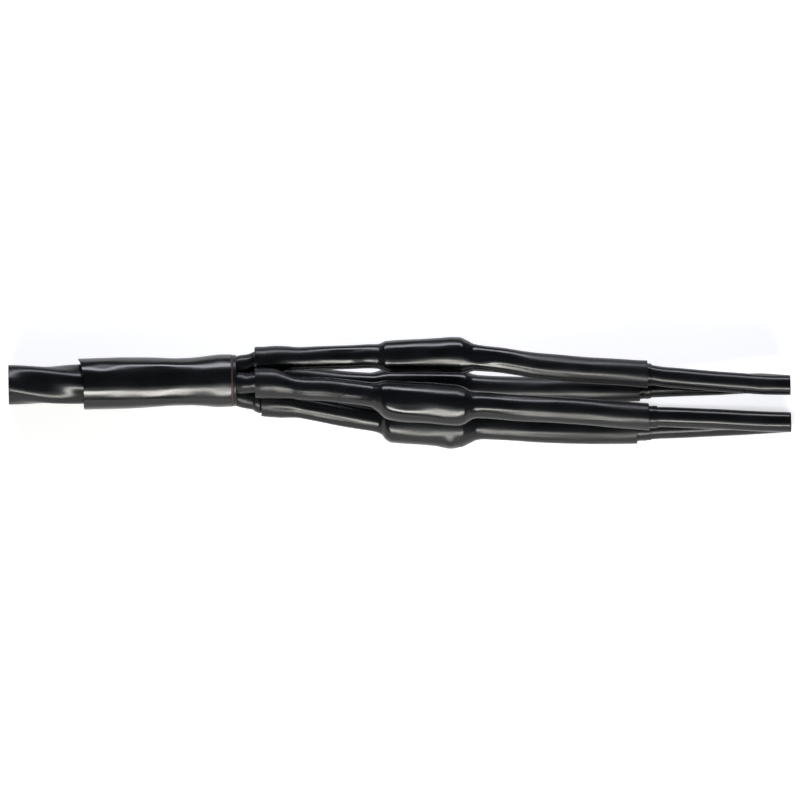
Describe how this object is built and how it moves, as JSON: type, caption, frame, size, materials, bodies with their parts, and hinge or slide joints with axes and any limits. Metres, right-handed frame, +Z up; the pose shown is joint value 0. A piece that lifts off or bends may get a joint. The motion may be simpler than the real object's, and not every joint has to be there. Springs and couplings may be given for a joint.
{
  "type": "transition cable joint",
  "caption": "Heat-shrink transition joint: a thick multi-core cable fans out through a fingered boot into sleeved, bulging phase joints that continue as single-core cables.",
  "frame": {"origin": "centre of the part's footprint on the floor it lies on", "axes": "+X along the joint from the multi-core cable to the single-core cables, +Z up"},
  "size_m": [1.2124, 0.1598, 0.1405],
  "materials": {
    "sleeve": "glossy shrunk polyolefin, black",
    "boot": "semi-gloss moulded polyolefin, black",
    "inner_tube": "semi-gloss, black",
    "cable_sheath": "semi-gloss PVC, black",
    "insulation": "extruded, satin",
    "bedding": "dull extruded filler",
    "mastic": "dull red sealant mastic",
    "conductor": "stranded, bright",
    "connector": "tinned, satin",
    "bolt": "tinned shear bolt, sheared flush"
  },
  "bodies": {
    "root": {"trunk_sheath": "cable_sheath", "trunk_bedding": "bedding", "trunk_wrap": "mastic", "trunk_sleeve": "sleeve", "boot": "boot", "crotch_mastic": "mastic", "core_conductor_1": "conductor", "core_conductor_2": "conductor", "core_conductor_3": "conductor", "core_conductor_4": "conductor", "core_insulation_1": "insulation", "core_insulation_2": "insulation", "core_insulation_3": "insulation", "core_insulation_4": "insulation", "finger_band_1": "mastic", "finger_band_2": "mastic", "finger_band_3": "mastic", "finger_band_4": "mastic", "connector_1": "connector", "connector_2": "connector", "connector_3": "connector", "connector_4": "connector", "shear_bolts_1": "bolt", "shear_bolts_2": "bolt", "shear_bolts_3": "bolt", "shear_bolts_4": "bolt", "filler_1": "mastic", "filler_2": "mastic", "filler_3": "mastic", "filler_4": "mastic", "inner_tube_1": "inner_tube", "inner_tube_2": "inner_tube", "inner_tube_3": "inner_tube", "inner_tube_4": "inner_tube", "outer_sleeve_1": "sleeve", "outer_sleeve_2": "sleeve", "outer_sleeve_3": "sleeve", "outer_sleeve_4": "sleeve", "cable_conductor_1": "conductor", "cable_conductor_2": "conductor", "cable_conductor_3": "conductor", "cable_conductor_4": "conductor", "cable_insulation_1": "insulation", "cable_insulation_2": "insulation", "cable_insulation_3": "insulation", "cable_insulation_4": "insulation", "cable_sheath_1": "cable_sheath", "cable_sheath_2": "cable_sheath", "cable_sheath_3": "cable_sheath", "cable_sheath_4": "cable_sheath"}
  },
  "joints": []
}
